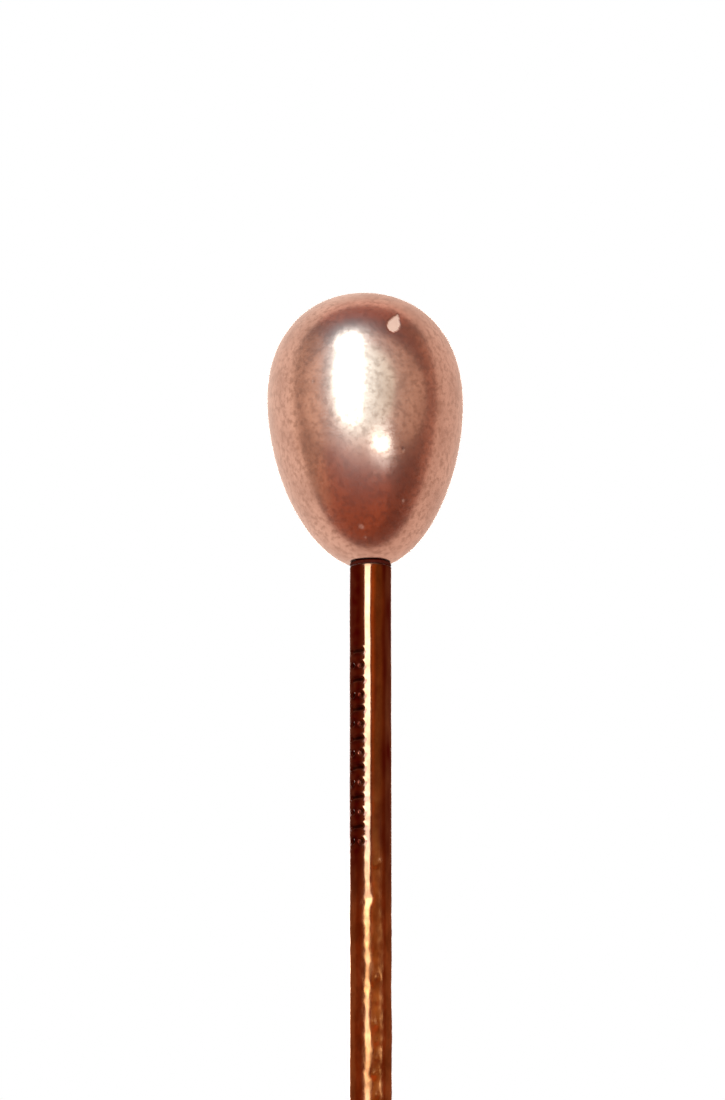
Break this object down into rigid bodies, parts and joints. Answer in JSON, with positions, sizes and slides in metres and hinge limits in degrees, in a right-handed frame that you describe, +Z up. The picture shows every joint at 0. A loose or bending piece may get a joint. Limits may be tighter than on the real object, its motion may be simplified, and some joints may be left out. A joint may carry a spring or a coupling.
{
  "type": "hat pin",
  "caption": "Straight sharpened gold wire pin with an egg-shaped bronze pearl head and a pull-off friction guard on its point.",
  "frame": {"origin": "on the axis, where the full-width shank ends against the head", "axes": "+Z up the shank towards the pearl; -Y is the side the picture shows, with the punched marks towards -X"},
  "size_m": [0.006, 0.006, 0.077],
  "materials": {
    "bead_glass": "opaque pressed bead glass",
    "bronze_pearl": "bronze-pink pearl lacquer, glossy with a soft bloom",
    "dark_cement": "aged dark cement",
    "rose_gold": "polished reddish gold with fine wear",
    "gilt_brass": "gilt, turned and polished",
    "nylon": "natural nylon"
  },
  "bodies": {
    "pin": {"bead_core": "bead_glass", "pearl_coat": "bronze_pearl", "head_cement": "dark_cement", "shank": "rose_gold"},
    "guard": {"guard_shell": "gilt_brass", "guard_grip": "nylon", "guard_bush": "gilt_brass"}
  },
  "joints": [
    {"name": "guard_slide", "type": "slide", "parent": "pin", "child": "guard", "axis": [0, 0, -1], "range_m": [0, 0.016]}
  ]
}
